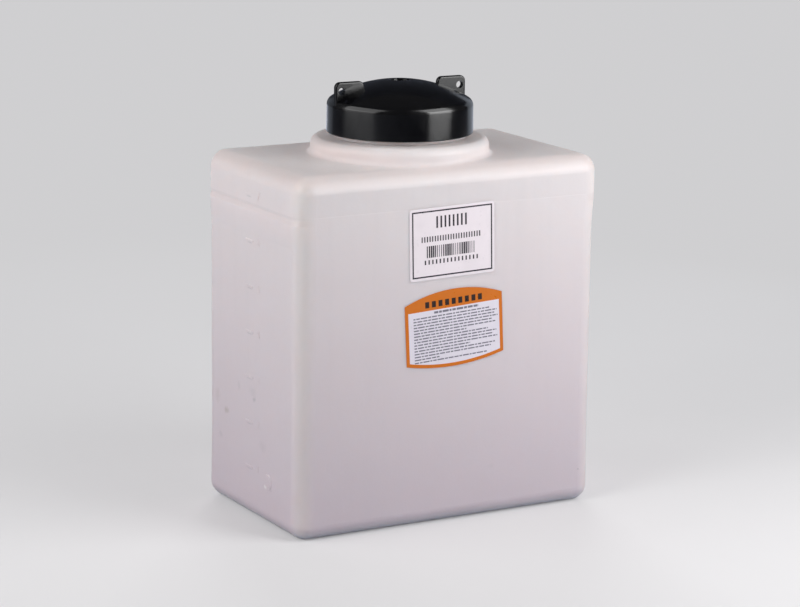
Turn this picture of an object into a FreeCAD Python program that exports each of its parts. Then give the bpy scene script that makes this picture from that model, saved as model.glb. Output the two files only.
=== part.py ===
# Portable utility tank: a hollow moulded tank with a screw lid, its seal, its vent and two stickers.
# Millimetres, +Z up. The origin is the middle of the underside, and the stickers face -Y.
import FreeCAD, Part
import math
import os

import Sketcher
from FreeCAD import Vector

# Driving dimensions: name in the sheet, size and what it measures
SIZES = (
    ("tank_width", 363.0, "outside, left to right, at the base and above the parting line"),
    ("tank_depth", 221.0, "outside, front to back"),
    ("tank_height", 383.5, "floor to the flat top"),
    ("wall", 4.0, "moulded wall of the tank"),
    ("corner_radius", 19.0, "upright corners, outside"),
    ("top_edge_less", 1.0, "top edges' radius, less than the corners'"),
    ("base_edge_less", 2.0, "bottom edges' radius, less than the corners'"),
    ("parting_drop", 49.5, "top to where the two mould halves meet"),
    ("waist_inset", 1.4, "how far the end walls sink in between base and lip"),
    ("waist_rise", 70.0, "floor to where the end walls have sunk in"),
    ("lip_out", 1.75, "how far the lip under the parting line stands out from the waist"),
    ("lip_height", 26.0, "height of the flare up to that lip"),
    ("lip_close", 8.0, "height of the slope back from that lip"),
    ("mould_shift_x", 0.8, "how far the upper half sits to the right"),
    ("mould_shift_y", 0.3, "how far the upper half sits to the back"),
    ("neck_x", -3.6, "axis of the neck, left of the middle"),
    ("collar_margin", 14.5, "collar's foot to the front and back faces"),
    ("collar_height", 17.5, "collar above the flat top"),
    ("collar_taper", 0.9, "how much the collar's side leans in"),
    ("collar_edge_radius", 8.5, "rounded upper edge of the collar"),
    ("collar_foot_radius", 5.0, "hollow fillet at the collar's foot"),
    ("neck_ledge", 26.25, "collar's foot to the neck's side"),
    ("neck_height", 32.0, "neck above the collar"),
    ("neck_foot_radius", 1.5, "fillet where the neck leaves the collar"),
    ("rim_radius", 1.2, "rounded rim of the neck"),
    ("thread_pitch", 10.0, "rise in one turn"),
    ("thread_height", 3.5, "how far a thread stands out"),
    ("thread_crest", 3.0, "width of a thread at its crest"),
    ("thread_root", 5.5, "width of a thread at its root"),
    ("thread_clearance", 1.0, "crest to the facing root"),
    ("thread_play", 0.3, "between the flanks that bear"),
    ("thread_sink", 0.4, "how deep a thread starts in what carries it"),
    ("neck_thread_start", 8.0, "middle of the first turn above the collar"),
    ("neck_thread_end", 4.0, "middle of the last turn below the rim"),
    ("lid_thread_start", 3.7, "middle of the first turn above the lid's lower edge"),
    ("lid_thread_turns", 1.5, "turns in the lid"),
    ("lid_gap", 4.5, "lid's lower edge above the collar"),
    ("lid_wall", 4.4, "lid's skirt at its lower edge"),
    ("lid_taper", 0.7, "how much the skirt leans in"),
    ("seat_cover", 3.2, "skirt's upper corner above the seat"),
    ("lid_edge_radius", 1.0, "rounded lower edge of the lid"),
    ("dome_rise", 22.0, "top of the dome above the skirt's upper corner"),
    ("dome_wall", 3.5, "thickness of the dome"),
    ("shoulder_radius", 8.6, "rounded edge between skirt and dome"),
    ("seat_margin", 1.8, "seat's inner edge inside the seal's"),
    ("gasket_thickness", 3.0, "seal, squeezed"),
    ("gasket_width", 9.0, "seal, across its flat"),
    ("gasket_clearance", 1.2, "seal to the lid's skirt"),
    ("recess_diameter", 19.0, "shallow round recess in the dome"),
    ("recess_depth", 1.8, "depth of that recess"),
    ("vent_diameter", 7.5, "vent hole through the lid"),
    ("vent_pad_diameter", 20.0, "flat pad under the dome at the vent"),
    ("vent_pad_depth", 0.6, "pad below the dome's inner face"),
    ("valve_clearance", 0.15, "vent plug in its hole"),
    ("valve_drop", 1.2, "plug's top below the recess"),
    ("valve_flange_diameter", 14.0, "flange of the plug, inside the lid"),
    ("valve_flange_thickness", 1.6, "thickness of that flange"),
    ("valve_bore_diameter", 2.0, "air hole through the plug"),
    ("lug_thickness", 5.8, "upright lugs on the dome"),
    ("lug_length", 34.0, "lug, along the lid's radius"),
    ("lug_inset", 0.3, "lug's outer end inside the skirt"),
    ("lug_rise", 0.5, "lug's top above the dome's top"),
    ("lug_corner_radius", 6.0, "rounded upper corners of a lug"),
    ("lug_edge_radius", 1.8, "softened edges of a lug"),
    ("lug_hole_diameter", 8.0, "tether hole in a lug"),
    ("lug_hole_inset", 7.3, "hole's middle from the lug's outer end"),
    ("lug_hole_drop", 9.8, "hole's middle below the lug's top"),
    ("lid_rest_turn", -2.0, "degrees that the closed lid is turned"),
    ("mark_first", 56.3, "height of the lowest mark"),
    ("mark_spacing", 49.0, "one gallon between marks"),
    ("mark_length", 18.0, "mark, front to back"),
    ("mark_width", 3.0, "mark, at its root"),
    ("mark_height", 0.8, "how far a mark stands out"),
    ("mark_y", 3.8, "middle of the marks"),
    ("mark_root", 0.4, "how deep a mark starts in the wall"),
    ("mark_draft", 20.0, "degrees that the sides of marks and boss lean in"),
    ("boss_diameter", 18.8, "low round boss under the marks"),
    ("boss_height", 1.2, "how far the boss stands out"),
    ("boss_y", -40.0, "middle of the boss"),
    ("boss_z", 49.2, "height of the boss"),
    ("film", 0.25, "thickness of both stickers"),
    ("label_width", 102.0, "white sticker"),
    ("label_height", 76.0, "white sticker"),
    ("label_corner_radius", 3.0, "white sticker"),
    ("label_x", -1.3, "middle of the white sticker"),
    ("label_drop", 78.4, "middle of the white sticker below the tank's top"),
    ("label_tilt", 1.5, "degrees that it was stuck askew"),
    ("card_width", 117.8, "arched sticker"),
    ("card_height", 64.5, "arched sticker, along its sides"),
    ("card_arch", 11.5, "rise of its upper edge"),
    ("card_sag", 7.2, "drop of its lower edge"),
    ("card_x", 2.9, "middle of the arched sticker"),
    ("card_drop", 94.4, "middle of its sides below the middle of the white sticker"),
    ("card_tilt", 3.0, "degrees that it was stuck askew"),
)

TOUCH = 0.05
OVERRUN = 1.0
FULL_TURN = 360.0
LUG_COUNT = 2

doc = FreeCAD.newDocument("utility_tank")
sheet = doc.addObject("Spreadsheet::Sheet", "sizes")
for row, (alias, length, meaning) in enumerate(SIZES, start=1):
    sheet.set("A%d" % row, alias)
    sheet.set("B%d" % row, str(length))
    sheet.set("C%d" % row, meaning)
    sheet.setAlias("B%d" % row, alias)
doc.recompute()


class Term:
    """A length worked out from the sheet: its formula as text and what it comes to now."""

    def __init__(self, text, value):
        self.text = text
        self.value = value

    def joined(self, sign, other, value):
        return Term("(%s %s %s)" % (self.text, sign, other.text), value)

    def __add__(self, other):
        other = term(other)
        return self.joined("+", other, self.value + other.value)

    def __sub__(self, other):
        other = term(other)
        return self.joined("-", other, self.value - other.value)

    def __mul__(self, other):
        other = term(other)
        return self.joined("*", other, self.value * other.value)

    def __truediv__(self, other):
        other = term(other)
        return self.joined("/", other, self.value / other.value)

    def __neg__(self):
        return Term("(0 - %s)" % self.text, -self.value)


def term(number):
    """A plain number as a Term; a Term stays as it is."""
    if isinstance(number, Term):
        return number
    return Term(repr(float(number)), float(number))


def size(alias):
    """A driving dimension, by its name in the sheet."""
    return Term("sizes." + alias, float(sheet.get(alias)))


def whole(length):
    """A Term rounded down to a whole number."""
    return Term("floor(%s)" % length.text, math.floor(length.value))


def bow_radius(width, rise):
    """Radius of an arc of a given width and rise."""
    return (width * width / 4 + rise * rise) / (rise * 2)


def bind(target, prop, length):
    """Ties a property to the sheet."""
    target.setExpression(prop, term(length).text)


# Levels and radii that several pieces share
half_depth = size("tank_depth") / 2
top = size("tank_height")
inner_top = top - size("wall")
parting = top - size("parting_drop")
waist_width = size("tank_width") - size("waist_inset") * 2
lip_width = waist_width + size("lip_out") * 2
top_radius = size("corner_radius") - size("top_edge_less")
base_radius = size("corner_radius") - size("base_edge_less")
collar_top = top + size("collar_height")
rim = collar_top + size("neck_height")
collar_foot = half_depth - size("collar_margin")
collar_shoulder = collar_foot - size("collar_taper")
neck_radius = collar_foot - size("neck_ledge")
bore_radius = neck_radius - size("wall")
seat = rim + size("gasket_thickness")
lid_bottom = collar_top + size("lid_gap")
lid_top = seat + size("seat_cover") + size("dome_rise")
lid_inside = neck_radius + size("thread_height") + size("thread_clearance")
lid_foot = lid_inside + size("lid_wall")
lid_shoulder = lid_foot - size("lid_taper")
gasket_radius = lid_inside - size("gasket_clearance")
dome_radius = bow_radius(lid_shoulder * 2, size("dome_rise"))
dome_centre = lid_top - dome_radius
inner_dome_radius = dome_radius - size("dome_wall")
pad_level = lid_top - size("dome_wall") - size("vent_pad_depth")
recess_floor = lid_top - size("recess_depth")
label_z = top - size("label_drop")


def new_body(name):
    """A sub-part, named as its file will be."""
    body = doc.addObject("PartDesign::Body", name)
    body.Label = name
    return body


def new_sketch(body, name, role, **offsets):
    """A sketch on one of the body's own origin planes, moved by bound offsets."""
    plane = [entry for entry in body.Origin.OriginFeatures if entry.Role == role][0]
    sketch = body.newObject("Sketcher::SketchObject", name)
    sketch.AttachmentSupport = (plane, "")
    sketch.MapMode = "FlatFace"
    for direction, offset in offsets.items():
        bind(sketch, "AttachmentOffset.Base." + direction, offset)
    return sketch


def rule(sketch, name, *details):
    """Adds a dimension to a sketch, named and tied to the sheet. Its length comes last."""
    length = term(details[-1])
    index = sketch.addConstraint(Sketcher.Constraint(*details[:-1], length.value))
    sketch.renameConstraint(index, name)
    bind(sketch, "Constraints." + name, length)


def place_point(sketch, name, geometry, end, x, z):
    """Fixes one end of a line or arc at a distance from the sketch's origin."""
    if x is None:
        sketch.addConstraint(Sketcher.Constraint("PointOnObject", geometry, end, -2))
    else:
        rule(sketch, name + "_x", "DistanceX", -1, 1, geometry, end, x)
    rule(sketch, name + "_z", "DistanceY", -1, 1, geometry, end, z)


def flat(x, z):
    """A point of a sketch's plane, from two Terms."""
    return Vector(0.0 if x is None else x.value, z.value, 0)


def draw_polygon(sketch, corners):
    """A closed outline of straight lines. An x of None lies on the upright axis."""
    count = len(corners)
    for index, (x, z) in enumerate(corners):
        next_x, next_z = corners[(index + 1) % count]
        sketch.addGeometry(Part.LineSegment(flat(x, z), flat(next_x, next_z)), False)
    for index in range(count):
        sketch.addConstraint(Sketcher.Constraint("Coincident", index, 2, (index + 1) % count, 1))
    for index, (x, z) in enumerate(corners):
        place_point(sketch, "corner%d" % index, index, 1, x, z)


def draw_rounded_rectangle(sketch, width, height, radius, shift_x=0, shift_y=0):
    """A rectangle with four equal round corners, its middle shifted from the origin."""
    right = width / 2 + shift_x
    left = width / 2 - shift_x
    back = height / 2 + shift_y
    front = height / 2 - shift_y
    r = radius.value
    x0, x1 = -left.value, right.value
    y0, y1 = -front.value, back.value
    lines = (
        (Vector(x0 + r, y0, 0), Vector(x1 - r, y0, 0)),
        (Vector(x1, y0 + r, 0), Vector(x1, y1 - r, 0)),
        (Vector(x1 - r, y1, 0), Vector(x0 + r, y1, 0)),
        (Vector(x0, y1 - r, 0), Vector(x0, y0 + r, 0)),
    )
    centres = (
        Vector(x1 - r, y0 + r, 0),
        Vector(x1 - r, y1 - r, 0),
        Vector(x0 + r, y1 - r, 0),
        Vector(x0 + r, y0 + r, 0),
    )
    for start, end in lines:
        sketch.addGeometry(Part.LineSegment(start, end), False)
    for index, centre in enumerate(centres):
        begin = math.radians(90 * index - 90)
        circle = Part.Circle(centre, Vector(0, 0, 1), r)
        sketch.addGeometry(Part.ArcOfCircle(circle, begin, begin + math.pi / 2), False)
    for index in range(4):
        arc = 4 + index
        sketch.addConstraint(Sketcher.Constraint("Tangent", index, 2, arc, 1))
        sketch.addConstraint(Sketcher.Constraint("Tangent", arc, 2, (index + 1) % 4, 1))
        sketch.addConstraint(Sketcher.Constraint(("Horizontal", "Vertical")[index % 2], index))
    for arc in (5, 6, 7):
        sketch.addConstraint(Sketcher.Constraint("Equal", 4, arc))
    rule(sketch, "radius", "Radius", 4, radius)
    rule(sketch, "front", "DistanceY", 0, 1, -1, 1, front)
    rule(sketch, "right", "DistanceX", -1, 1, 1, 1, right)
    rule(sketch, "back", "DistanceY", -1, 1, 2, 1, back)
    rule(sketch, "left", "DistanceX", 3, 1, -1, 1, left)


def draw_circle(sketch, x, y, radius, name="circle"):
    """A circle with its middle at bound distances from the origin."""
    index = sketch.addGeometry(Part.Circle(Vector(x.value, y.value, 0), Vector(0, 0, 1), radius.value), False)
    rule(sketch, name + "_x", "DistanceX", -1, 1, index, 3, x)
    rule(sketch, name + "_y", "DistanceY", -1, 1, index, 3, y)
    rule(sketch, name + "_radius", "Radius", index, radius)


def grow(body, kind, name, sketch, **values):
    """Adds a feature made from a sketch and makes it the body's latest."""
    feature = body.newObject("PartDesign::" + kind, name)
    feature.Profile = sketch
    for prop, value in values.items():
        if isinstance(value, Term):
            bind(feature, prop, value)
        else:
            setattr(feature, prop, value)
    sketch.Visibility = False
    body.Tip = feature
    doc.recompute()
    return feature


def turn(body, kind, name, sketch):
    """A Revolution or Groove all the way round the sketch's upright axis."""
    return grow(body, kind, name, sketch, ReferenceAxis=(sketch, ["V_Axis"]), Angle=FULL_TURN)


def stack(body, name, sketches):
    """Straight-sided walls through a stack of outlines, from the lowest up."""
    loft = body.newObject("PartDesign::AdditiveLoft", name)
    loft.Profile = sketches[0]
    loft.Sections = sketches[1:]
    loft.Ruled = True
    for sketch in sketches:
        sketch.Visibility = False
    body.Tip = loft
    doc.recompute()
    return loft


def round_edges(body, name, radius, chosen):
    """Fillets those edges of the latest feature that the test picks out."""
    base = body.Tip
    edges = ["Edge%d" % (index + 1) for index, edge in enumerate(base.Shape.Edges) if chosen(edge)]
    fillet = body.newObject("PartDesign::Fillet", name)
    fillet.Base = (base, edges)
    bind(fillet, "Radius", radius)
    body.Tip = fillet
    doc.recompute()
    return fillet


def samples(edge):
    """Three points of an edge."""
    first, last = edge.ParameterRange
    return [edge.valueAt(first + (last - first) * share) for share in (0.1, 0.5, 0.9)]


def at_level(level):
    """Picks edges that lie flat at a height."""
    return lambda edge: all(abs(point.z - level.value) < TOUCH for point in samples(edge))


def on_ring(radius, low, high, centre_x=0.0):
    """Picks edges that run round the upright axis at a radius, between two heights."""
    def test(edge):
        return all(
            abs(math.hypot(point.x - centre_x, point.y) - radius.value) < TOUCH
            and low.value - TOUCH < point.z < high.value + TOUCH
            for point in samples(edge)
        )
    return test


def thread_section(sketch, root_x, crest_x, start):
    """A thread's section, sunk a little into what carries it."""
    sign = 1.0 if crest_x.value > root_x.value else -1.0
    half_root = size("thread_root") / 2
    half_crest = size("thread_crest") / 2
    base_x = root_x - size("thread_sink") * sign
    draw_polygon(sketch, (
        (base_x, start - half_root),
        (root_x, start - half_root),
        (crest_x, start - half_crest),
        (crest_x, start + half_crest),
        (root_x, start + half_root),
        (base_x, start + half_root),
    ))


def wind_thread(body, name, sketch, rise):
    """Sweeps a thread's section up a right-hand helix round the sketch's upright axis."""
    helix = body.newObject("PartDesign::AdditiveHelix", name)
    helix.Profile = sketch
    helix.ReferenceAxis = (sketch, ["V_Axis"])
    helix.Mode = 0
    bind(helix, "Pitch", size("thread_pitch"))
    bind(helix, "Height", rise)
    sketch.Visibility = False
    body.Tip = helix
    doc.recompute()
    return helix


def shell(body):
    """The tank's two mould halves and the hollow in them, then the rounded edges, inner ones first."""
    levels = (
        ("base", term(0), size("tank_width")),
        ("waist_foot", size("waist_rise"), waist_width),
        ("waist_head", parting - size("lip_height"), waist_width),
        ("lip", parting, lip_width),
        ("lip_head", parting + size("lip_close"), waist_width),
    )
    outlines = []
    for name, level, width in levels:
        outline = new_sketch(body, name + "_outline", "XY_Plane", z=level)
        draw_rounded_rectangle(outline, width, size("tank_depth"), size("corner_radius"))
        outlines.append(outline)
    stack(body, "lower_half", outlines)
    upper = new_sketch(body, "upper_outline", "XY_Plane", z=parting)
    draw_rounded_rectangle(upper, size("tank_width"), size("tank_depth"), size("corner_radius"),
                           size("mould_shift_x"), size("mould_shift_y"))
    grow(body, "Pad", "upper_half", upper, Length=top - parting)
    inner_width = waist_width - size("wall") * 2
    inner_depth = size("tank_depth") - size("wall") * 2
    floor = new_sketch(body, "cavity_outline", "XY_Plane", z=size("wall"))
    draw_rounded_rectangle(floor, inner_width, inner_depth, size("corner_radius") - size("wall"))
    grow(body, "Pocket", "cavity", floor, Length=top - size("wall") * 2, Reversed=True)
    round_edges(body, "cavity_top_edges", top_radius - size("wall"), at_level(inner_top))
    round_edges(body, "cavity_bottom_edges", base_radius - size("wall"), at_level(size("wall")))
    round_edges(body, "top_edges", top_radius, at_level(top))
    round_edges(body, "bottom_edges", base_radius, at_level(term(0)))


def neck_outside(body):
    """The rounded collar and the plain neck above it."""
    sketch = new_sketch(body, "neck_outline", "XZ_Plane", x=size("neck_x"))
    sunk = top - size("wall") / 2
    draw_polygon(sketch, (
        (None, sunk),
        (collar_foot, sunk),
        (collar_foot, top),
        (collar_shoulder, collar_top),
        (neck_radius, collar_top),
        (neck_radius, rim),
        (None, rim),
    ))
    turn(body, "Revolution", "neck_solid", sketch)
    axis = size("neck_x").value
    round_edges(body, "collar_edge", size("collar_edge_radius"),
                on_ring(collar_shoulder, collar_top, collar_top, axis))
    round_edges(body, "neck_foot", size("neck_foot_radius"),
                on_ring(neck_radius, collar_top, collar_top, axis))
    round_edges(body, "collar_foot", size("collar_foot_radius"),
                on_ring(collar_foot, inner_top, top, axis))


def neck_inside(body):
    """The hollow of the collar and the bore of the neck."""
    sketch = new_sketch(body, "bore_outline", "XZ_Plane", x=size("neck_x"))
    draw_polygon(sketch, (
        (None, inner_top - OVERRUN),
        (collar_foot - size("wall"), inner_top - OVERRUN),
        (collar_shoulder - size("wall"), collar_top - size("wall")),
        (bore_radius, collar_top - size("wall")),
        (bore_radius, rim + OVERRUN),
        (None, rim + OVERRUN),
    ))
    turn(body, "Groove", "neck_bore", sketch)
    round_edges(body, "rim_edges", size("rim_radius"), at_level(rim))


def neck_thread(body):
    """The coarse thread round the neck."""
    sketch = new_sketch(body, "neck_thread_section", "XZ_Plane", x=size("neck_x"))
    start = collar_top + size("neck_thread_start")
    thread_section(sketch, neck_radius, neck_radius + size("thread_height"), start)
    rise = size("neck_height") - size("neck_thread_start") - size("neck_thread_end")
    wind_thread(body, "neck_thread", sketch, rise)


def level_marks(body):
    """The row of gallon marks and the low boss on the left face."""
    reach = size("mould_shift_x") + size("mark_root")
    face = reach - waist_width / 2
    sketch = new_sketch(body, "mark_outline", "YZ_Plane", z=face)
    half_mark = size("mark_width") / 2
    half_length = size("mark_length") / 2
    draw_polygon(sketch, (
        (size("mark_y") - half_length, size("mark_first") - half_mark),
        (size("mark_y") + half_length, size("mark_first") - half_mark),
        (size("mark_y") + half_length, size("mark_first") + half_mark),
        (size("mark_y") - half_length, size("mark_first") + half_mark),
    ))
    mark = grow(body, "Pad", "level_mark", sketch, Length=reach + size("mark_height"),
                TaperAngle=-size("mark_draft"), Reversed=True)
    row = body.newObject("PartDesign::LinearPattern", "level_mark_row")
    row.Originals = [mark]
    row.Direction = (sketch, ["V_Axis"])
    spaces = whole((top - top_radius - size("mark_first")) / size("mark_spacing"))
    bind(row, "Length", size("mark_spacing") * spaces)
    bind(row, "Occurrences", spaces + 1)
    body.Tip = row
    doc.recompute()
    spot = new_sketch(body, "boss_outline", "YZ_Plane", z=face)
    draw_circle(spot, size("boss_y"), size("boss_z"), size("boss_diameter") / 2)
    grow(body, "Pad", "boss", spot, Length=reach + size("boss_height"),
         TaperAngle=-size("mark_draft"), Reversed=True)


def build_tank():
    """The hollow tank, moulded in one piece with its neck, thread and marks."""
    body = new_body("tank_body")
    shell(body)
    neck_outside(body)
    neck_inside(body)
    neck_thread(body)
    level_marks(body)
    return body


def dome_arc(sketch, radius, start_x, end_x):
    """Adds an arc about the dome's centre, between two distances from its axis."""
    begin = math.asin(end_x.value / radius.value)
    finish = math.asin(start_x.value / radius.value)
    circle = Part.Circle(Vector(0, dome_centre.value, 0), Vector(0, 0, 1), radius.value)
    arc = Part.ArcOfCircle(circle, math.pi / 2 - begin, math.pi / 2 - finish)
    index = sketch.addGeometry(arc, False)
    sketch.addConstraint(Sketcher.Constraint("PointOnObject", index, 3, -2))
    rule(sketch, "dome_centre", "DistanceY", -1, 1, index, 3, dome_centre)
    rule(sketch, "dome_radius", "Radius", index, radius)
    return index


def height_on(radius, x):
    """How high a sphere of the dome's centre stands at a distance from the axis."""
    return dome_centre.value + math.sqrt(radius.value ** 2 - x.value ** 2)


def lid_outside(body):
    """Skirt and dome, with the rounded shoulder between them."""
    sketch = new_sketch(body, "lid_outline", "XZ_Plane")
    shoulder = Vector(lid_shoulder.value, height_on(dome_radius, lid_shoulder), 0)
    corners = (shoulder, flat(lid_foot, lid_bottom), flat(None, lid_bottom), flat(None, lid_top))
    for start, end in zip(corners[:-1], corners[1:]):
        sketch.addGeometry(Part.LineSegment(start, end), False)
    arc = dome_arc(sketch, dome_radius, term(0), lid_shoulder)
    for first, second in ((0, 1), (1, 2)):
        sketch.addConstraint(Sketcher.Constraint("Coincident", first, 2, second, 1))
    sketch.addConstraint(Sketcher.Constraint("Coincident", 2, 2, arc, 2))
    sketch.addConstraint(Sketcher.Constraint("Coincident", arc, 1, 0, 1))
    sketch.addConstraint(Sketcher.Constraint("Vertical", 2))
    rule(sketch, "shoulder_x", "DistanceX", -1, 1, 0, 1, lid_shoulder)
    place_point(sketch, "foot", 1, 1, lid_foot, lid_bottom)
    place_point(sketch, "middle", 2, 1, None, lid_bottom)
    turn(body, "Revolution", "lid_solid", sketch)
    round_edges(body, "shoulder", size("shoulder_radius"), on_ring(lid_shoulder, lid_bottom, lid_top))


def lid_lugs(body):
    """Two upright lugs across the dome, each with a tether hole."""
    sketch = new_sketch(body, "lug_outline", "XZ_Plane")
    outer = lid_shoulder - size("lug_inset")
    inner = outer - size("lug_length")
    lug_top = lid_top + size("lug_rise")
    r = size("lug_corner_radius").value
    sketch.addGeometry(Part.LineSegment(flat(inner, seat), flat(outer, seat)), False)
    sketch.addGeometry(Part.LineSegment(flat(outer, seat), flat(outer, lug_top - r)), False)
    sketch.addGeometry(Part.LineSegment(flat(outer - r, lug_top), flat(inner + r, lug_top)), False)
    sketch.addGeometry(Part.LineSegment(flat(inner, lug_top - r), flat(inner, seat)), False)
    for centre, begin in ((flat(outer - r, lug_top - r), 0.0), (flat(inner + r, lug_top - r), math.pi / 2)):
        circle = Part.Circle(centre, Vector(0, 0, 1), r)
        sketch.addGeometry(Part.ArcOfCircle(circle, begin, begin + math.pi / 2), False)
    for pair in ((0, 2, 1, 1), (3, 2, 0, 1)):
        sketch.addConstraint(Sketcher.Constraint("Coincident", *pair))
    for pair in ((1, 2, 4, 1), (4, 2, 2, 1), (2, 2, 5, 1), (5, 2, 3, 1)):
        sketch.addConstraint(Sketcher.Constraint("Tangent", *pair))
    for line, direction in ((0, "Horizontal"), (1, "Vertical"), (2, "Horizontal"), (3, "Vertical")):
        sketch.addConstraint(Sketcher.Constraint(direction, line))
    sketch.addConstraint(Sketcher.Constraint("Equal", 4, 5))
    rule(sketch, "corner_radius", "Radius", 4, size("lug_corner_radius"))
    place_point(sketch, "outer_foot", 1, 1, outer, seat)
    rule(sketch, "inner_x", "DistanceX", -1, 1, 0, 1, inner)
    rule(sketch, "top", "DistanceY", -1, 1, 2, 1, lug_top)
    draw_circle(sketch, outer - size("lug_hole_inset"), lug_top - size("lug_hole_drop"),
                size("lug_hole_diameter") / 2, "hole")
    lug = grow(body, "Pad", "lug", sketch, Length=size("lug_thickness"), Midplane=True)
    pair = body.newObject("PartDesign::PolarPattern", "lug_pair")
    pair.Originals = [lug]
    pair.Axis = (sketch, ["V_Axis"])
    pair.Angle = FULL_TURN
    pair.Occurrences = LUG_COUNT
    body.Tip = pair
    doc.recompute()
    half = (size("lug_thickness") / 2).value
    lowest = (lug_top - size("lug_corner_radius")).value - TOUCH

    def lug_rim(edge):
        points = samples(edge)
        on_side = all(abs(abs(point.y) - half) < TOUCH for point in points)
        return on_side and min(point.z for point in points) > lowest

    round_edges(body, "lug_edges", size("lug_edge_radius"), lug_rim)


def lid_inside_hollow(body):
    """The hollow under the dome: skirt, flat seat for the seal, inner dome and the pad at the vent."""
    sketch = new_sketch(body, "lid_hollow_outline", "XZ_Plane")
    seat_inner = gasket_radius - size("gasket_width") - size("seat_margin")
    pad_radius = size("vent_pad_diameter") / 2
    below = lid_bottom - OVERRUN
    dome_at_seat = Vector(seat_inner.value, height_on(inner_dome_radius, seat_inner), 0)
    dome_at_pad = Vector(pad_radius.value, height_on(inner_dome_radius, pad_radius), 0)
    corners = (dome_at_seat, flat(seat_inner, seat), flat(lid_inside, seat), flat(lid_inside, below),
               flat(None, below), flat(None, pad_level), flat(pad_radius, pad_level), dome_at_pad)
    for start, end in zip(corners[:-1], corners[1:]):
        sketch.addGeometry(Part.LineSegment(start, end), False)
    arc = dome_arc(sketch, inner_dome_radius, pad_radius, seat_inner)
    last = len(corners) - 2
    for index in range(last):
        sketch.addConstraint(Sketcher.Constraint("Coincident", index, 2, index + 1, 1))
    sketch.addConstraint(Sketcher.Constraint("Coincident", last, 2, arc, 2))
    sketch.addConstraint(Sketcher.Constraint("Coincident", arc, 1, 0, 1))
    sketch.addConstraint(Sketcher.Constraint("Vertical", 0))
    sketch.addConstraint(Sketcher.Constraint("Vertical", last))
    place_point(sketch, "seat_inner", 1, 1, seat_inner, seat)
    place_point(sketch, "seat_outer", 2, 1, lid_inside, seat)
    place_point(sketch, "mouth", 3, 1, lid_inside, below)
    place_point(sketch, "mouth_middle", 4, 1, None, below)
    place_point(sketch, "pad_middle", 5, 1, None, pad_level)
    place_point(sketch, "pad_edge", 6, 1, pad_radius, pad_level)
    turn(body, "Groove", "lid_hollow", sketch)
    round_edges(body, "mouth_edges", size("lid_edge_radius"), at_level(lid_bottom))


def lid_vent(body):
    """The round recess at the top of the dome and the vent hole in its middle."""
    recess = new_sketch(body, "recess_outline", "XY_Plane", z=lid_top + OVERRUN)
    draw_circle(recess, term(0), term(0), size("recess_diameter") / 2)
    grow(body, "Pocket", "vent_recess", recess, Length=size("recess_depth") + OVERRUN)
    hole = new_sketch(body, "vent_outline", "XY_Plane", z=lid_top + OVERRUN)
    draw_circle(hole, term(0), term(0), size("vent_diameter") / 2)
    grow(body, "Pocket", "vent_hole", hole, Length=lid_top - seat)


def lid_thread(body):
    """The thread inside the skirt, started where it lies just under the neck's thread when closed."""
    facing = (size("thread_height") - size("thread_clearance")) / size("thread_height")
    slope = (size("thread_root") - size("thread_crest")) / 2
    apart = size("thread_crest") + slope * facing + size("thread_play")
    start = lid_bottom + size("lid_thread_start")
    climbed = start + apart - collar_top - size("neck_thread_start")
    lead = climbed / size("thread_pitch") * FULL_TURN - size("lid_rest_turn")
    sketch = new_sketch(body, "lid_thread_section", "XZ_Plane")
    sketch.AttachmentOffset = FreeCAD.Placement(Vector(), FreeCAD.Rotation(Vector(0, 1, 0), lead.value))
    thread_section(sketch, lid_inside, lid_inside - size("thread_height"), start)
    wind_thread(body, "lid_thread", sketch, size("thread_pitch") * size("lid_thread_turns"))


def seat_on_neck(body):
    """Moves a piece made round the origin's upright axis onto the neck's axis."""
    bind(body, "Placement.Base.x", size("neck_x"))


def build_lid():
    """The one-piece moulded lid."""
    body = new_body("lid")
    lid_outside(body)
    lid_lugs(body)
    lid_inside_hollow(body)
    lid_vent(body)
    lid_thread(body)
    turned = FreeCAD.Rotation(Vector(0, 0, 1), size("lid_rest_turn").value)
    body.Placement = FreeCAD.Placement(Vector(), turned)
    seat_on_neck(body)
    return body


def build_gasket():
    """The flat ring seal between the neck's rim and the lid."""
    body = new_body("lid_gasket")
    sketch = new_sketch(body, "gasket_outline", "XY_Plane", z=rim)
    draw_circle(sketch, term(0), term(0), gasket_radius, "outer")
    draw_circle(sketch, term(0), term(0), gasket_radius - size("gasket_width"), "inner")
    grow(body, "Pad", "gasket_ring", sketch, Length=size("gasket_thickness"))
    seat_on_neck(body)
    return body


def build_valve():
    """The soft vent plug, pushed into the vent hole from inside."""
    body = new_body("vent_valve")
    sketch = new_sketch(body, "valve_outline", "XZ_Plane")
    bore = size("valve_bore_diameter") / 2
    flange = size("valve_flange_diameter") / 2
    stem = size("vent_diameter") / 2 - size("valve_clearance")
    draw_polygon(sketch, (
        (bore, pad_level - size("valve_flange_thickness")),
        (flange, pad_level - size("valve_flange_thickness")),
        (flange, pad_level),
        (stem, pad_level),
        (stem, recess_floor - size("valve_drop")),
        (bore, recess_floor - size("valve_drop")),
    ))
    turn(body, "Revolution", "valve_solid", sketch)
    seat_on_neck(body)
    return body


def stick_on_front(body, x, z, tilt):
    """Lays a sticker flat on the front face, turned a little about its middle."""
    body.Placement = FreeCAD.Placement(Vector(), FreeCAD.Rotation(Vector(0, -1, 0), tilt.value))
    bind(body, "Placement.Base.x", x)
    bind(body, "Placement.Base.y", -half_depth)
    bind(body, "Placement.Base.z", z)


def build_label():
    """The white sticker near the top of the front face."""
    body = new_body("product_label")
    sketch = new_sketch(body, "label_outline", "XZ_Plane")
    draw_rounded_rectangle(sketch, size("label_width"), size("label_height"), size("label_corner_radius"))
    grow(body, "Pad", "label_film", sketch, Length=size("film"))
    stick_on_front(body, size("label_x"), label_z, size("label_tilt"))
    return body


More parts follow.
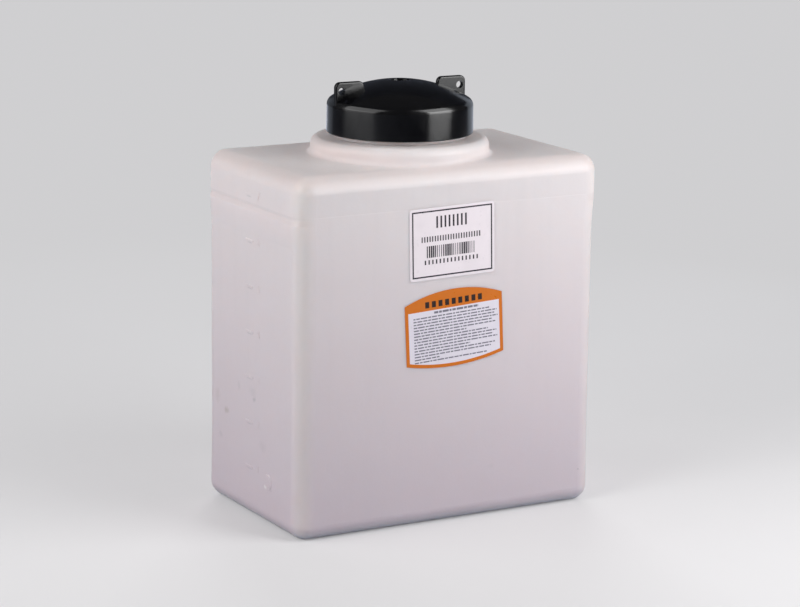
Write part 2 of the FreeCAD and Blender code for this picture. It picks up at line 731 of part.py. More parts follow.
def arch(sketch, left, right, middle, radius, name):
    """An arc between two corners, through a point halfway."""
    index = sketch.addGeometry(Part.Arc(left, middle, right), False)
    rule(sketch, name, "Radius", index, radius)
    return index


def build_card():
    """The arched sticker with the coloured frame, lower on the front face."""
    body = new_body("contents_label")
    sketch = new_sketch(body, "card_outline", "XZ_Plane")
    half = size("card_width") / 2
    side = size("card_height") / 2
    corners = (flat(-half, -side), flat(half, -side), flat(half, side), flat(-half, side))
    sketch.addGeometry(Part.LineSegment(corners[1], corners[2]), False)
    sketch.addGeometry(Part.LineSegment(corners[3], corners[0]), False)
    crown = flat(term(0), side + size("card_arch"))
    bottom = flat(term(0), -side - size("card_sag"))
    arch_radius = bow_radius(size("card_width"), size("card_arch"))
    sag_radius = bow_radius(size("card_width"), size("card_sag"))
    upper = arch(sketch, corners[2], corners[3], crown, arch_radius, "arch")
    lower = arch(sketch, corners[0], corners[1], bottom, sag_radius, "sag")
    for pair in ((0, 2, upper, 1), (upper, 2, 1, 1), (1, 2, lower, 1), (lower, 2, 0, 1)):
        sketch.addConstraint(Sketcher.Constraint("Coincident", *pair))
    place_point(sketch, "right_foot", 0, 1, half, -side)
    place_point(sketch, "right_top", 0, 2, half, side)
    place_point(sketch, "left_top", 1, 1, -half, side)
    place_point(sketch, "left_foot", 1, 2, -half, -side)
    grow(body, "Pad", "card_film", sketch, Length=size("film"))
    stick_on_front(body, size("card_x"), label_z - size("card_drop"), size("card_tilt"))
    return body


def check_document():
    """Stops if any object failed or went stale."""
    doc.recompute()
    for entry in doc.Objects:
        if "Invalid" in entry.State or "Error" in entry.State:
            raise RuntimeError("%s is not sound: %s" % (entry.Name, entry.State))


def export(body):
    """Writes one sub-part, once its shape is known to be good."""
    shape = body.Shape
    if shape.isNull() or not shape.isValid() or len(shape.Solids) != 1:
        raise RuntimeError("%s has no single valid solid" % body.Label)
    shape.exportStep("parts/%s.step" % body.Label)
    print("%-16s %10.1f cubic mm, %d faces" % (body.Label, shape.Volume, len(shape.Faces)))


pieces = [build_tank(), build_lid(), build_gasket(), build_valve(), build_label(), build_card()]
check_document()
os.makedirs("parts", exist_ok=True)
for piece in pieces:
    export(piece)
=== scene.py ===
import math

import bmesh
import bpy
from mathutils import Matrix, Vector


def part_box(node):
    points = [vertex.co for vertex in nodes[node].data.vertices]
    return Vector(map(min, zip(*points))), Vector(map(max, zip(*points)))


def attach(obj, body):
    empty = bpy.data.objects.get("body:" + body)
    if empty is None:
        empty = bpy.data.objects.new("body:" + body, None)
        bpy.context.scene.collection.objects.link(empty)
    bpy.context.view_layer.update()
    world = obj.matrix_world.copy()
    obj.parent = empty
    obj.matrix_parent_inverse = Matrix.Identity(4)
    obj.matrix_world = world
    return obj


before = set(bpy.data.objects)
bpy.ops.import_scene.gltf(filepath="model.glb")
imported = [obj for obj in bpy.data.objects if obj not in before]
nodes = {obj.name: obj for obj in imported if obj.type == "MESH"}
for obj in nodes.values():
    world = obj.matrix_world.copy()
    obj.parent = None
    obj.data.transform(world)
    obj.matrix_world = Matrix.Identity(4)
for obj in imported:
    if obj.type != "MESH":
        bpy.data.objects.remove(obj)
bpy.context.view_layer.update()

MM = 0.001

# Corners and levels read from the frame
TANK_LOW, TANK_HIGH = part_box("tank_body")
LABEL_LOW, LABEL_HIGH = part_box("product_label")
STICKER_FACE = LABEL_LOW.y

# The stickers as they were stuck on: middle, tilt in degrees and size
LABEL_MIDDLE = (LABEL_LOW + LABEL_HIGH) / 2
LABEL_TILT = 1.5
LABEL_WIDTH = 102 * MM
LABEL_HEIGHT = 76 * MM
CARD_MIDDLE = Vector((2.9 * MM, STICKER_FACE, 210.7 * MM))
CARD_TILT = 3.0
CARD_WIDTH = 117.8 * MM
CARD_HEIGHT = 64.5 * MM
CARD_SAG = 7.2 * MM

# How deep the print starts in its sticker, and how far it and the card's panel stand proud
INK_DEPTH = 0.05 * MM
PANEL_LIFT = 0.03 * MM
INK_LIFT = 0.06 * MM

# The level marks on the left face, in mm
MARK_FIRST = 56.3
MARK_SPACING = 49.0
MARK_COUNT = 7
MARK_Y = 3.8


class Shader:
    """A material with its Principled shader, and short ways to add nodes to it."""

    def __init__(self, name, **sockets):
        self.material = bpy.data.materials.new(name)
        self.material.use_nodes = True
        self.tree = self.material.node_tree
        self.principled = self.tree.nodes["Principled BSDF"]
        for key, value in sockets.items():
            self.principled.inputs[key.replace("_", " ")].default_value = value

    def node(self, kind, settings=(), **inputs):
        """Adds a node. An input is a number, a colour or another node's output."""
        made = self.tree.nodes.new("ShaderNode" + kind)
        for key, value in dict(settings).items():
            setattr(made, key, value)
        for key, value in inputs.items():
            self.feed(made.inputs[int(key[1:]) if key[1:].isdigit() else key.replace("_", " ")], value)
        return made

    def feed(self, socket, value):
        if isinstance(value, bpy.types.NodeSocket):
            self.tree.links.new(value, socket)
        else:
            socket.default_value = value

    def set(self, name, value):
        self.feed(self.principled.inputs[name], value)

    def place(self):
        """The point on the surface, in the object's own frame."""
        return self.node("TexCoord").outputs["Object"]

    def split(self, vector):
        return self.node("SeparateXYZ", _0=vector).outputs

    def math(self, operation, first, second=0.0):
        return self.node("Math", {"operation": operation}, _0=first, _1=second).outputs[0]

    def times(self, first, second):
        return self.math("MULTIPLY", first, second)

    def noise(self, vector, scale, detail=2.0, roughness=0.5, stretch=(1, 1, 1)):
        """Noise from 0 to 1. A stretch below 1 draws it out along that axis."""
        moved = self.node("Mapping", _0=vector, _3=stretch).outputs[0]
        made = self.node("TexNoise", Vector=moved, Scale=scale, Detail=detail, Roughness=roughness)
        return made.outputs[0]

    def ramp(self, value, low, high, to_low=0.0, to_high=1.0):
        """Maps low..high to to_low..to_high, smoothly, and holds it outside."""
        made = self.node("MapRange", {"interpolation_type": "SMOOTHSTEP"}, _0=value, _1=low, _2=high,
                         _3=to_low, _4=to_high)
        return made.outputs[0]

    def mix(self, factor, first, second):
        made = self.node("Mix", {"data_type": "RGBA"}, _0=factor, _6=first, _7=second)
        return made.outputs[2]

    def bump(self, height, strength, distance, normal=None):
        made = self.node("Bump", Height=height, Strength=strength, Distance=distance)
        if normal is not None:
            self.feed(made.inputs["Normal"], normal)
        return made.outputs[0]


def paint(piece, shader):
    """Gives every face of a piece one material."""
    piece.data.materials.clear()
    piece.data.materials.append(shader.material)


# Tones of the tank's plastic, and of the painted light and shade on it
# The upper tone is the lit one and the lower the shaded one: their blend by height is painted shade, darker
# towards the bottom
UPPER_LIT_TONE = (0.935, 0.790, 0.770, 1)
LOWER_SHADED_TONE = (0.680, 0.575, 0.615, 1)
CLOUD_TONE = (0.60, 0.56, 0.60, 1)
STREAK_TONE = (0.62, 0.57, 0.58, 1)
# Painted light on the upright corners
CORNER_LIGHT_TONE = (0.92, 0.80, 0.72, 1)
# Painted shade on the top edges and round the collar
EDGE_SHADE_TONE = (0.58, 0.50, 0.49, 1)
# Painted light along the foot
FOOT_LIGHT_TONE = (0.95, 0.88, 0.87, 1)

# Where those tones and the marks set in and reach their full strength
CORNER_X = (160 * MM, 176 * MM)
CORNER_Y = (90 * MM, 106 * MM)
TOP_EDGE = (362 * MM, 380 * MM)
COLLAR_FOOT = (384 * MM, 390 * MM)
COLLAR_SIDE = (58 * MM, 92 * MM)
SLOPE_BELOW = (333 * MM, 335 * MM)
SLOPE_ABOVE = (343 * MM, 341 * MM)
FOOT_BAND = (13 * MM, 2 * MM)
LEFT_FACE = (-160 * MM, -170 * MM)
FRONT_FACE = (-90 * MM, -100 * MM)
NECK_X = -3.6 * MM

# How strongly each tone shows
CORNER_LIGHT_SHARE = 0.36
EDGE_SHADE_SHARE = 0.42
SLOPE_SHADE_SHARE = 0.10
FOOT_LIGHT_SHARE = 0.70

# How the plastic scatters light inside: red, green and blue, and the reach in metres
SCATTER_RADIUS = (1.0, 0.86, 0.8)
SCATTER_REACH = 0.012

# Tones of the marks of use; the grey one also paints shade, and the light one is a painted highlight
GREY_DIRT_AND_SHADE = (0.33, 0.30, 0.30, 1)
BROWN_DIRT = (0.42, 0.33, 0.27, 1)
PAINTED_HIGHLIGHT = (0.97, 0.92, 0.91, 1)

# Marks of use on the left face, with a painted highlight and painted shade on the boss, in mm: middle along y
# and z, half width, half height, strength and tone
LEFT_MARKS = (
    (59.6, 104.7, 7.0, 5.0, 0.42, BROWN_DIRT),
    (-6.6, 131.6, 5.0, 3.6, 0.34, GREY_DIRT_AND_SHADE),
    (-4.0, 139.0, 11.0, 7.0, 0.12, GREY_DIRT_AND_SHADE),
    (29.3, 138.5, 4.5, 7.0, 0.12, GREY_DIRT_AND_SHADE),
    (82.3, 116.1, 8.0, 11.0, 0.16, BROWN_DIRT),
    (74.3, 74.9, 6.0, 4.0, 0.18, GREY_DIRT_AND_SHADE),
    (-26.7, 84.6, 11.0, 8.0, 0.11, GREY_DIRT_AND_SHADE),
    # Painted highlight on the lower edge of the boss, and painted shade beside it
    (-34.5, 43.0, 4.5, 3.2, 0.75, PAINTED_HIGHLIGHT),
    (-47.0, 44.0, 4.0, 4.5, 0.22, GREY_DIRT_AND_SHADE),
)

# Painted shadow under each level mark
SHADOW_DROP = 2.2
MARK_SHADOW = tuple(
    (MARK_Y, MARK_FIRST + MARK_SPACING * index - SHADOW_DROP, 9.0, 1.2, 0.26, GREY_DIRT_AND_SHADE)
    for index in range(MARK_COUNT)
)

# Marks on the front face, the same way but with the middle along x and z
FRONT_MARKS = (
    (162.4, 37.6, 1.1, 1.1, 0.55, GREY_DIRT_AND_SHADE),
    (49.9, 55.4, 7.0, 3.0, 0.07, GREY_DIRT_AND_SHADE),
)


def tank_plastic(name, scattering):
    """Milky polyethylene: soft, a little see-through, with faint use marks. Its colour holds painted light
    and shade: warmer and lighter above, greyer and darker below, lighter at the upright corners and the foot,
    darker at the top edges, the collar, the parting-line slope and under the level marks.
    """
    made = Shader(name, Roughness=0.36, IOR=1.51, Subsurface_Weight=scattering,
                  Subsurface_Radius=SCATTER_RADIUS, Subsurface_Scale=SCATTER_REACH)
    place = made.place()
    x, y, z = made.split(place)
    # Painted shade: the colour turns greyer and darker from top to bottom
    height = made.node("MapRange", _0=z, _1=0.0, _2=TANK_HIGH.z).outputs[0]
    tone = made.mix(height, LOWER_SHADED_TONE, UPPER_LIT_TONE)
    cloud = made.noise(place, 9.0, 3.0)
    tone = made.mix(made.ramp(cloud, 0.35, 0.7, 0.0, 0.06), tone, CLOUD_TONE)
    streak = made.noise(place, 60.0, 3.0, 0.6, (1, 1, 0.06))
    tone = made.mix(made.ramp(streak, 0.45, 0.75, 0.0, 0.06), tone, STREAK_TONE)

    # Painted light on the upright corners: they are lighter and warmer, as where their rounding catches the
    # lamps
    near_x = made.ramp(made.math("ABSOLUTE", x), *CORNER_X)
    near_y = made.ramp(made.math("ABSOLUTE", y), *CORNER_Y)
    tone = made.mix(made.times(made.times(near_x, near_y), CORNER_LIGHT_SHARE), tone, CORNER_LIGHT_TONE)
    # Painted shade on the top edges and round the collar: darker, to hold back the light they catch
    edge = made.times(made.math("MAXIMUM", near_x, near_y), made.ramp(z, *TOP_EDGE))
    from_neck = made.math("ABSOLUTE", made.math("SUBTRACT", x, NECK_X))
    collar = made.times(made.ramp(z, *COLLAR_FOOT), made.ramp(from_neck, *COLLAR_SIDE, 0.0, 1.2))
    edge_shade = made.math("MAXIMUM", edge, collar)
    tone = made.mix(made.times(edge_shade, EDGE_SHADE_SHARE), tone, EDGE_SHADE_TONE)

    # Painted shade on the slope of the parting line, to hold back the light it catches from above
    slope_shade = made.times(made.ramp(z, *SLOPE_BELOW), made.ramp(z, *SLOPE_ABOVE))
    tone = made.mix(made.times(made.times(slope_shade, near_x), SLOPE_SHADE_SHARE), tone, GREY_DIRT_AND_SHADE)
    # Painted light along the foot, where the bottom fillet catches light from the floor
    tone = made.mix(made.ramp(z, *FOOT_BAND, 0.0, FOOT_LIGHT_SHARE), tone, FOOT_LIGHT_TONE)
    tone = with_marks(made, tone, LEFT_MARKS + MARK_SHADOW, y, z, made.ramp(x, *LEFT_FACE), place)
    tone = with_marks(made, tone, FRONT_MARKS, x, z, made.ramp(y, *FRONT_FACE), place)
    made.set("Base Color", tone)

    scuff = made.noise(place, 240.0, 4.0, 0.7, (1, 1, 0.4))
    made.set("Roughness", made.ramp(scuff, 0.3, 0.75, 0.32, 0.46))
    pebble = made.bump(made.noise(place, 420.0), 0.12, 0.0006)
    made.set("Normal", made.bump(made.noise(place, 18.0), 0.25, 0.004, pebble))
    return made


def with_marks(made, tone, marks, across, up, on_face, place):
    """Rubbed-in dirt, painted shade and painted highlights on one face, ragged at their edges."""
    noise = made.math("SUBTRACT", made.noise(place, 220.0, 4.0, 0.7), 0.5)
    ragged = made.times(noise, 1.4)
    for middle_across, middle_up, half_width, half_height, strength, mark_tone in marks:
        off_across = made.math("DIVIDE", made.math("SUBTRACT", across, middle_across * MM), half_width * MM)
        off_up = made.math("DIVIDE", made.math("SUBTRACT", up, middle_up * MM), half_height * MM)
        squared = made.math("ADD", made.times(off_across, off_across), made.times(off_up, off_up))
        away = made.math("ADD", made.math("SQRT", squared), ragged)
        spot = made.times(made.ramp(away, 1.1, 0.1), on_face)
        tone = made.mix(made.times(spot, strength), tone, mark_tone)
    return tone


def lid_plastic():
    """Black moulded plastic, half gloss, with a fine grain, a little dust and rubbed patches."""
    made = Shader("lid_black_plastic", Roughness=0.20, IOR=1.6)
    place = made.place()
    dust = made.ramp(made.noise(place, 70.0, 5.0, 0.65), 0.45, 0.85, 0.0, 0.4)
    made.set("Base Color", made.mix(dust, (0.0020, 0.0020, 0.0026, 1), (0.008, 0.008, 0.010, 1)))
    rubbed = made.noise(place, 45.0, 4.0, 0.65, (1, 1, 0.5))
    made.set("Roughness", made.ramp(rubbed, 0.3, 0.75, 0.12, 0.26))
    made.set("Normal", made.bump(made.noise(place, 900.0), 0.05, 0.0003))
    return made


def scaled(tone, factor):
    """A tone made lighter or darker."""
    return tuple(part * factor for part in tone[:3]) + (1,)


def rubber(name, tone):
    """Dull black rubber with a pale bloom."""
    made = Shader(name, Roughness=0.7, IOR=1.5)
    place = made.place()
    bloom = made.ramp(made.noise(place, 120.0, 4.0, 0.6), 0.4, 0.8, 0.0, 0.5)
    made.set("Base Color", made.mix(bloom, tone, scaled(tone, 2.2)))
    made.set("Normal", made.bump(made.noise(place, 700.0), 0.2, 0.0003))
    return made


def printed_film(name, tone):
    """Printed sticker film: one colour with a little unevenness from the print and the wall under it."""
    made = Shader(name, Roughness=0.32, IOR=1.48)
    place = made.place()
    uneven = made.ramp(made.noise(place, 45.0, 3.0), 0.4, 0.75, 0.0, 0.5)
    made.set("Base Color", made.mix(uneven, tone, scaled(tone, 0.92)))
    made.set("Roughness", made.ramp(made.noise(place, 200.0, 3.0), 0.3, 0.7, 0.27, 0.40))
    made.set("Normal", made.bump(made.noise(place, 60.0), 0.15, 0.0006))
    return made


class Sticker:
    """The plane of one sticker: right and up along its own edges."""

    def __init__(self, middle, tilt):
        turn = math.radians(tilt)
        self.middle = middle
        self.right = Vector((math.cos(turn), 0, math.sin(turn)))
        self.up = Vector((-math.sin(turn), 0, math.cos(turn)))

    def at(self, across, above, lift):
        point = self.middle + self.right * across + self.up * above
        point.y = STICKER_FACE - lift
        return point


def new_piece(name, mesh, shader):
    """Turns a mesh into a piece of the tank."""
    piece = bpy.data.objects.new(name, mesh)
    bpy.context.scene.collection.objects.link(piece)
    paint(piece, shader)
    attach(piece, "tank")


def print_piece(name, bm, tone_name, tone):
    """Turns a bmesh into a printed piece of a sticker."""
    bmesh.ops.recalc_face_normals(bm, faces=bm.faces)
    mesh = bpy.data.meshes.new(name)
    bm.to_mesh(mesh)
    bm.free()
    new_piece(name, mesh, printed_film(tone_name, tone))


def slab(bm, sticker, outline, lift, hole=None):
    """A thin closed plate on a sticker, from an outline and, for a frame, a hole with as many points."""
    def loop(points, height):
        return [bm.verts.new(sticker.at(across, above, height)) for across, above in points]

    def band(first, second):
        count = len(first)
        for index in range(count):
            after = (index + 1) % count
            bm.faces.new((first[index], first[after], second[after], second[index]))

    front = loop(outline, lift)
    back = loop(outline, -INK_DEPTH)
    band(front, back)
    if hole is None:
        bm.faces.new(front)
        bm.faces.new(back)
        return
    front_hole = loop(hole, lift)
    back_hole = loop(hole, -INK_DEPTH)
    band(front_hole, back_hole)
    band(front, front_hole)
    band(back, back_hole)


def rectangle(left, low, right, high):
    return [(left, low), (right, low), (right, high), (left, high)]


def blocks(bm, sticker, left, right, low, high, count, share):
    """A row of equal plain blocks."""
    pitch = (right - left) / count
    for index in range(count):
        start = left + pitch * (index + (1 - share) / 2)
        slab(bm, sticker, rectangle(start, low, start + pitch * share, high), INK_LIFT)


def stripes(bm, sticker, left, right, low, high, count):
    """Upright stripes whose widths swell and shrink evenly from side to side."""
    pitch = (right - left) / count
    for index in range(count):
        share = 0.5 + 0.25 * math.sin(index * math.pi / 4)
        start = left + pitch * index
        slab(bm, sticker, rectangle(start, low, start + pitch * share, high), INK_LIFT)


# The print on the white sticker: the frame's inset and line, and how many upright stripes it has
FRAME_INSET = 2.8 * MM
FRAME_LINE = 1.5 * MM
STRIPE_COUNT = 24

# Rows of blocks there, in mm: left, right, low, high, how many, and the share of the row they fill
LABEL_ROWS = (
    (-20.8, 18.8, 16.2, 28.6, 8, 0.40),
    (-38.0, 34.5, 2.2, 8.0, 23, 0.42),
    (-35.0, 32.0, -21.6, -17.0, 15, 0.36),
)


def label_print():
    """The frame, rows of plain blocks and upright stripes on the white sticker."""
    sticker = Sticker(LABEL_MIDDLE, LABEL_TILT)
    bm = bmesh.new()
    wide = LABEL_WIDTH / 2 - FRAME_INSET
    tall = LABEL_HEIGHT / 2 - FRAME_INSET
    inner_wide = wide - FRAME_LINE
    inner_tall = tall - FRAME_LINE
    slab(bm, sticker, rectangle(-wide, -tall, wide, tall), INK_LIFT,
         rectangle(-inner_wide, -inner_tall, inner_wide, inner_tall))
    for left, right, low, high, count, share in LABEL_ROWS:
        blocks(bm, sticker, left * MM, right * MM, low * MM, high * MM, count, share)
    stripes(bm, sticker, -31.0 * MM, 28.0 * MM, -14.6 * MM, -2.2 * MM, STRIPE_COUNT)
    print_piece("product_label_print", bm, "label_ink", (0.020, 0.014, 0.022, 1))


# The white panel of the card: its distance from the sides, the head and the foot, and the steps of its bow
PANEL_SIDE = 3.9 * MM
PANEL_HEAD = 7.9 * MM
PANEL_FOOT = 3.7 * MM
PANEL_STEPS = 24

# The rows of dashes in it: where they run, how far apart and how thick they are, and the gap between dashes
ROWS_LEFT = -49.0 * MM
ROWS_RIGHT = 53.0 * MM
ROWS_TOP = CARD_HEIGHT / 2 - 9.6 * MM
ROW_DROP = 1.4 * MM
ROW_PITCH = 3.15 * MM
ROW_THICK = 1.35 * MM
DASH_GAP = 1.0 * MM

# The heading row above them
HEADING_LEFT = -24.0 * MM
HEADING_RIGHT = 30.0 * MM
HEADING_THICK = 2.3 * MM

# The row of blocks in the card's coloured head: half its width, its lower edge, its height, and its blocks
HEAD_HALF = 36.0 * MM
HEAD_LOW = CARD_HEIGHT / 2 - 4.9 * MM
HEAD_TALL = 6.6 * MM
HEAD_BLOCKS = 9
HEAD_SHARE = 0.60

# How far each row of the card runs, as a share of the panel, and the lengths of its dashes in mm
CARD_ROWS = (0.90, 0.99, 0.96, 1.0, 0.93, 0.97, 0.62, 0.88, 0.98, 0.94, 0.99, 0.66, 0.96, 0.91, 0.30, 0.86)
DASH_LENGTHS = (5.0, 3.2, 7.4, 2.4, 4.2, 8.0, 3.6, 6.0)

# How many dash lengths further on each row starts than the one above it
DASH_SHIFT = 3


def card_panel_outline():
    """The white panel in the coloured frame: straight above, bowed below."""
    half = CARD_WIDTH / 2
    inner = half - PANEL_SIDE
    bow = (half * half + CARD_SAG * CARD_SAG) / (2 * CARD_SAG)
    centre = bow - CARD_SAG - CARD_HEIGHT / 2
    points = []
    for step in range(PANEL_STEPS + 1):
        across = -inner + 2 * inner * step / PANEL_STEPS
        points.append((across, centre - math.sqrt((bow - PANEL_FOOT) ** 2 - across ** 2)))
    high = CARD_HEIGHT / 2 - PANEL_HEAD
    return points + [(inner, high), (-inner, high)]


def dashes(bm, sticker, left, right, low, high, row):
    """One row of dashes whose lengths run through a fixed round."""
    start = left
    index = row * DASH_SHIFT
    while start < right:
        end = min(start + DASH_LENGTHS[index % len(DASH_LENGTHS)] * MM, right)
        slab(bm, sticker, rectangle(start, low, end, high), INK_LIFT)
        start = end + DASH_GAP
        index += 1


def card_print():
    """The white panel, the rows of short dashes in it and the plain blocks in the coloured head."""
    sticker = Sticker(CARD_MIDDLE, CARD_TILT)
    panel = bmesh.new()
    slab(panel, sticker, card_panel_outline(), PANEL_LIFT)
    print_piece("contents_label_panel", panel, "card_white", (0.80, 0.75, 0.82, 1))
    lines = bmesh.new()
    dashes(lines, sticker, HEADING_LEFT, HEADING_RIGHT, ROWS_TOP - HEADING_THICK, ROWS_TOP, 0)
    for row, share in enumerate(CARD_ROWS, start=1):
        high = ROWS_TOP - ROW_DROP - ROW_PITCH * row
        right = ROWS_LEFT + (ROWS_RIGHT - ROWS_LEFT) * share
        dashes(lines, sticker, ROWS_LEFT, right, high - ROW_THICK, high, row)
    print_piece("contents_label_lines", lines, "card_grey", (0.20, 0.19, 0.23, 1))
    head = bmesh.new()
    blocks(head, sticker, -HEAD_HALF, HEAD_HALF, HEAD_LOW, HEAD_LOW + HEAD_TALL, HEAD_BLOCKS, HEAD_SHARE)
    print_piece("contents_label_header", head, "card_dark", (0.020, 0.008, 0.004, 1))


# Plain raised numerals beside the level marks, and the font's size for that height
NUMERAL_HEIGHT = 9.0 * MM
NUMERAL_FONT = NUMERAL_HEIGHT * 1.35
NUMERAL_DEPTH = 0.22 * MM
NUMERAL_EDGE = 0.1 * MM
NUMERAL_Y = -17.0 * MM


def left_wall(y, z):
    """Where the left wall's face stands, at one place on it."""
    outside = Vector((TANK_LOW.x - 1, y, z))
    return nodes["tank_body"].ray_cast(outside, Vector((1, 0, 0)))[1].x


def numeral(value, shader):
    """One raised numeral on the left face, upright, read from outside."""
    text = bpy.data.curves.new("numeral", "FONT")
    text.body = str(value)
    text.size = NUMERAL_FONT
    text.align_x = "CENTER"
    text.align_y = "CENTER"
    text.extrude = NUMERAL_DEPTH - NUMERAL_EDGE
    text.bevel_depth = NUMERAL_EDGE
    holder = bpy.data.objects.new("numeral_holder", text)
    bpy.context.scene.collection.objects.link(holder)
    bpy.context.view_layer.update()
    mesh = bpy.data.meshes.new_from_object(holder.evaluated_get(bpy.context.evaluated_depsgraph_get()))
    bpy.data.objects.remove(holder)
    outward = Matrix(((0, 0, -1), (-1, 0, 0), (0, 1, 0))).to_4x4()
    height = (MARK_FIRST + MARK_SPACING * (value - 1)) * MM
    mesh.transform(Matrix.Translation((left_wall(NUMERAL_Y, height), NUMERAL_Y, height)) @ outward)
    mesh.name = "level_numeral_%d" % value
    new_piece(mesh.name, mesh, shader)


def build_looks():
    paint(nodes["tank_body"], tank_plastic("tank_polyethylene", 0.85))
    paint(nodes["lid"], lid_plastic())
    paint(nodes["lid_gasket"], rubber("seal_rubber", (0.030, 0.030, 0.032, 1)))
    paint(nodes["vent_valve"], rubber("vent_rubber", (0.020, 0.020, 0.022, 1)))
    paint(nodes["product_label"], printed_film("label_white", (0.88, 0.80, 0.83, 1)))
    paint(nodes["contents_label"], printed_film("card_orange", (0.66, 0.165, 0.003, 1)))
    label_print()
    card_print()
    relief = tank_plastic("numeral_polyethylene", 0.0)
    for value in range(1, MARK_COUNT + 1):
        numeral(value, relief)


def towards(azimuth, elevation):
    """The direction to something seen from the tank: degrees round from the front face, and up."""
    a = math.radians(azimuth)
    e = math.radians(elevation)
    return Vector((math.sin(a) * math.cos(e), -math.cos(a) * math.cos(e), math.sin(e)))


# The camera as it stood to the photograph: angles in degrees, distances in metres, the lens in mm
CAMERA_AZIMUTH = -29.502
CAMERA_ELEVATION = 12.508
CAMERA_ROLL = 0.694
CAMERA_DISTANCE = 3.0914
CAMERA_ASIDE = 0.00201
CAMERA_ABOVE = 0.21128
CAMERA_LENS = 126.58
CAMERA_SENSOR = 36.0
CAMERA_REACH = 60.0


def place_camera():
    back = towards(CAMERA_AZIMUTH, CAMERA_ELEVATION)
    roll = math.radians(CAMERA_ROLL)
    level = (-back).cross(Vector((0, 0, 1))).normalized()
    upright = level.cross(-back)
    right = level * math.cos(roll) + upright * math.sin(roll)
    up = upright * math.cos(roll) - level * math.sin(roll)
    data = bpy.data.cameras.new("camera")
    data.lens = CAMERA_LENS
    data.sensor_width = CAMERA_SENSOR
    data.clip_end = CAMERA_REACH
    camera = bpy.data.objects.new("camera", data)
    turn = Matrix((right, up, back)).transposed().to_4x4()
    spot = back * CAMERA_DISTANCE + right * CAMERA_ASIDE + up * CAMERA_ABOVE
    camera.matrix_world = Matrix.Translation(spot) @ turn
    bpy.context.scene.collection.objects.link(camera)
    bpy.context.scene.camera = camera


NEUTRAL = (1.0, 1.0, 1.0)
COOL = (0.80, 0.88, 1.0)

# Softboxes: name, azimuth and elevation in degrees, distance, width and height, power and tone
SOFTBOXES = (
    ("right_upper", 36, 38, 1.35, 1.0, 1.0, 9.4, NEUTRAL),
    ("right_lower", 36, 15, 1.35, 1.0, 0.6, 8.2, NEUTRAL),
    ("left_upper", -96, 38, 1.35, 1.4, 1.0, 6.6, NEUTRAL),
    ("left_lower", -96, 14, 1.35, 1.4, 0.6, 2.4, NEUTRAL),
    ("rear_right", 118, 12, 1.3, 0.8, 0.8, 0.95, COOL),
    ("rear_left", -174, 12, 1.3, 0.8, 0.8, 0.35, COOL),
)

# Fills, the same way: they light the object and don't show in its gloss
FILLS = (
    ("corner_fill", -74, 21, 3.0, 1.5, 1.5, 33.2, NEUTRAL),
    ("rear_fill", 155, 14, 3.0, 1.5, 1.5, 62.0, NEUTRAL),
)

# The world: its tone, how strongly it lights, and how strongly the camera sees it
WORLD_TONE = (0.97, 0.96, 0.98, 1)
WORLD_LIGHT = 0.06
WORLD_SEEN = 0.75


def softbox(name, azimuth, elevation, distance, width, height, power, tone):
    """A large rectangular lamp aimed at the middle of the tank."""
    data = bpy.data.lights.new(name, "AREA")
    data.shape = "RECTANGLE"
    data.size = width
    data.size_y = height
    data.energy = power
    data.color = tone
    lamp = bpy.data.objects.new(name, data)
    lamp.visible_camera = False
    back = towards(azimuth, elevation)
    lamp.location = Vector((0, 0, TANK_HIGH.z / 2)) + back * distance
    lamp.rotation_mode = "QUATERNION"
    lamp.rotation_quaternion = back.to_track_quat("Z", "Y")
    bpy.context.scene.collection.objects.link(lamp)
    return lamp


def light_scene():
    """Two pairs of softboxes beside the front, two weak ones behind, two fills and a faint world."""
    for values in SOFTBOXES:
        softbox(*values)
    for values in FILLS:
        softbox(*values).visible_glossy = False
    world = bpy.data.worlds.new("studio")
    world.use_nodes = True
    tree = world.node_tree
    path = tree.nodes.new("ShaderNodeLightPath")
    strength = tree.nodes.new("ShaderNodeMapRange")
    strength.inputs["To Min"].default_value = WORLD_LIGHT
    strength.inputs["To Max"].default_value = WORLD_SEEN
    background = tree.nodes["Background"]
    background.inputs["Color"].default_value = WORLD_TONE
    tree.links.new(path.outputs["Is Camera Ray"], strength.inputs["Value"])
    tree.links.new(strength.outputs["Result"], background.inputs["Strength"])
    bpy.context.scene.world = world


# The floor and the wall behind it: half the width, how far back the wall is, the bend, and the wall's height
FLOOR_HALF = 6.0
FLOOR_BACK = 5.0
FLOOR_BEND = 1.5
FLOOR_TOP = 6.0
BEND_STEPS = 24

# Its tones: to the camera, in two shades, to other rays, and as an even glow that sets in away from the tank
FLOOR_DARKER = (0.775, 0.765, 0.775, 1)
FLOOR_LIGHTER = (0.825, 0.815, 0.825, 1)
FLOOR_UNSEEN = (0.30, 0.32, 0.38, 1)
FLOOR_GLOW = (0.785, 0.780, 0.795, 1)
GLOW_STRENGTH = 0.80
GLOW_FROM = 0.30
GLOW_TO = 1.60
GLOW_LEAST = 0.35


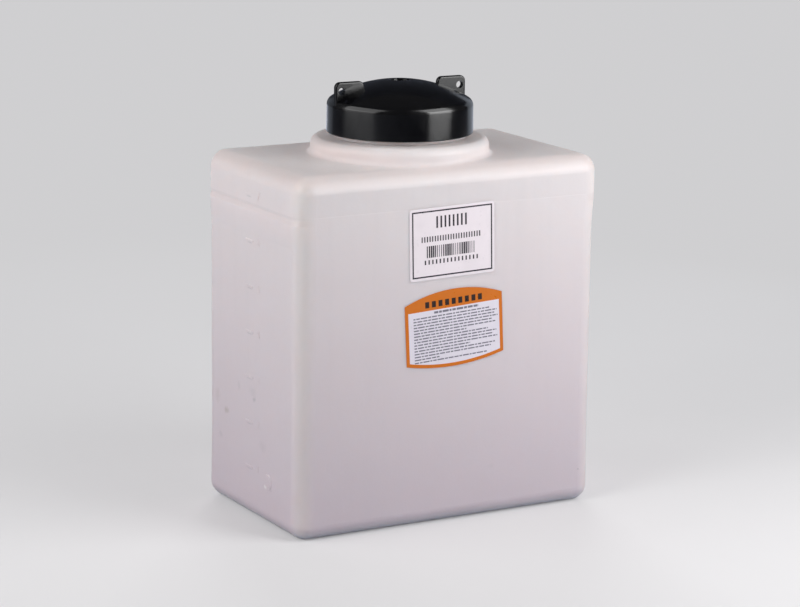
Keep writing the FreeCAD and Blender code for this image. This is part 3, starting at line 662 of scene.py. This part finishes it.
def floor_paper():
    """Matt pale paper. The camera sees it even and pale, and the tank gets little light from it."""
    paper = Shader("floor_paper", Roughness=0.9, Specular_IOR_Level=0.1)
    cloud = paper.noise(paper.place(), 3.0, 3.0)
    seen = paper.mix(cloud, FLOOR_DARKER, FLOOR_LIGHTER)
    to_camera = paper.node("LightPath").outputs["Is Camera Ray"]
    paper.set("Base Color", paper.mix(to_camera, FLOOR_UNSEEN, seen))
    away = paper.node("VectorMath", {"operation": "LENGTH"}, _0=paper.place()).outputs["Value"]
    even = paper.times(paper.ramp(away, GLOW_FROM, GLOW_TO, GLOW_LEAST, 1.0), to_camera)
    glow = paper.node("Emission", Color=FLOOR_GLOW, Strength=GLOW_STRENGTH).outputs[0]
    blend = paper.node("MixShader", _0=even, _1=paper.principled.outputs[0], _2=glow).outputs[0]
    paper.feed(paper.tree.nodes["Material Output"].inputs["Surface"], blend)
    return paper


def lay_floor():
    """A plain pale sweep: floor and wall in one."""
    bm = bmesh.new()
    bend_start = FLOOR_BACK - FLOOR_BEND
    profile = [(-FLOOR_HALF, 0.0), (bend_start, 0.0)]
    for step in range(1, BEND_STEPS + 1):
        angle = math.pi / 2 * step / BEND_STEPS
        profile.append((bend_start + FLOOR_BEND * math.sin(angle), FLOOR_BEND - FLOOR_BEND * math.cos(angle)))
    profile.append((FLOOR_BACK, FLOOR_TOP))
    rows = [[bm.verts.new((side * FLOOR_HALF, y, z)) for side in (-1, 1)] for y, z in profile]
    for first, second in zip(rows[:-1], rows[1:]):
        bm.faces.new((first[0], first[1], second[1], second[0]))
    mesh = bpy.data.meshes.new("floor")
    bm.to_mesh(mesh)
    bm.free()
    for face in mesh.polygons:
        face.use_smooth = True
    floor = bpy.data.objects.new("floor", mesh)
    floor.rotation_euler = (0, 0, math.radians(CAMERA_AZIMUTH))
    bpy.context.scene.collection.objects.link(floor)
    paint(floor, floor_paper())


build_looks()
place_camera()
light_scene()
lay_floor()
bpy.context.scene.view_settings.view_transform = "Standard"
